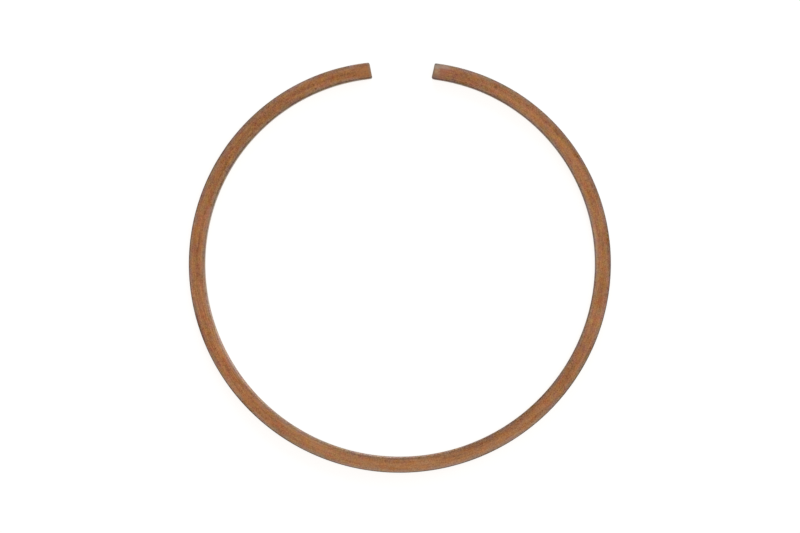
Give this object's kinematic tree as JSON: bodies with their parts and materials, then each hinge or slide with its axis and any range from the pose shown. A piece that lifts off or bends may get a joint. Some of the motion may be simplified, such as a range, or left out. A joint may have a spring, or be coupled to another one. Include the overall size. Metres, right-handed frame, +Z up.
{
  "type": "piston ring",
  "caption": "Plain compression piston ring in its free shape: a thin flat split ring of rectangular section with an open gap and a copper finish.",
  "frame": {"origin": "middle of the outline's box seen from above, on the plane that the ring lies on", "axes": "+Z up, along the ring's axis; +Y towards the gap; +X across the ring, parallel to the gap's opening"},
  "size_m": [0.1058, 0.1028, 0.0025],
  "materials": {
    "copper_finish": "copper-brown satin coating over cast iron, faintly mottled, greyer along its edges"
  },
  "bodies": {
    "root": {"piston_ring": "copper_finish"}
  },
  "joints": []
}
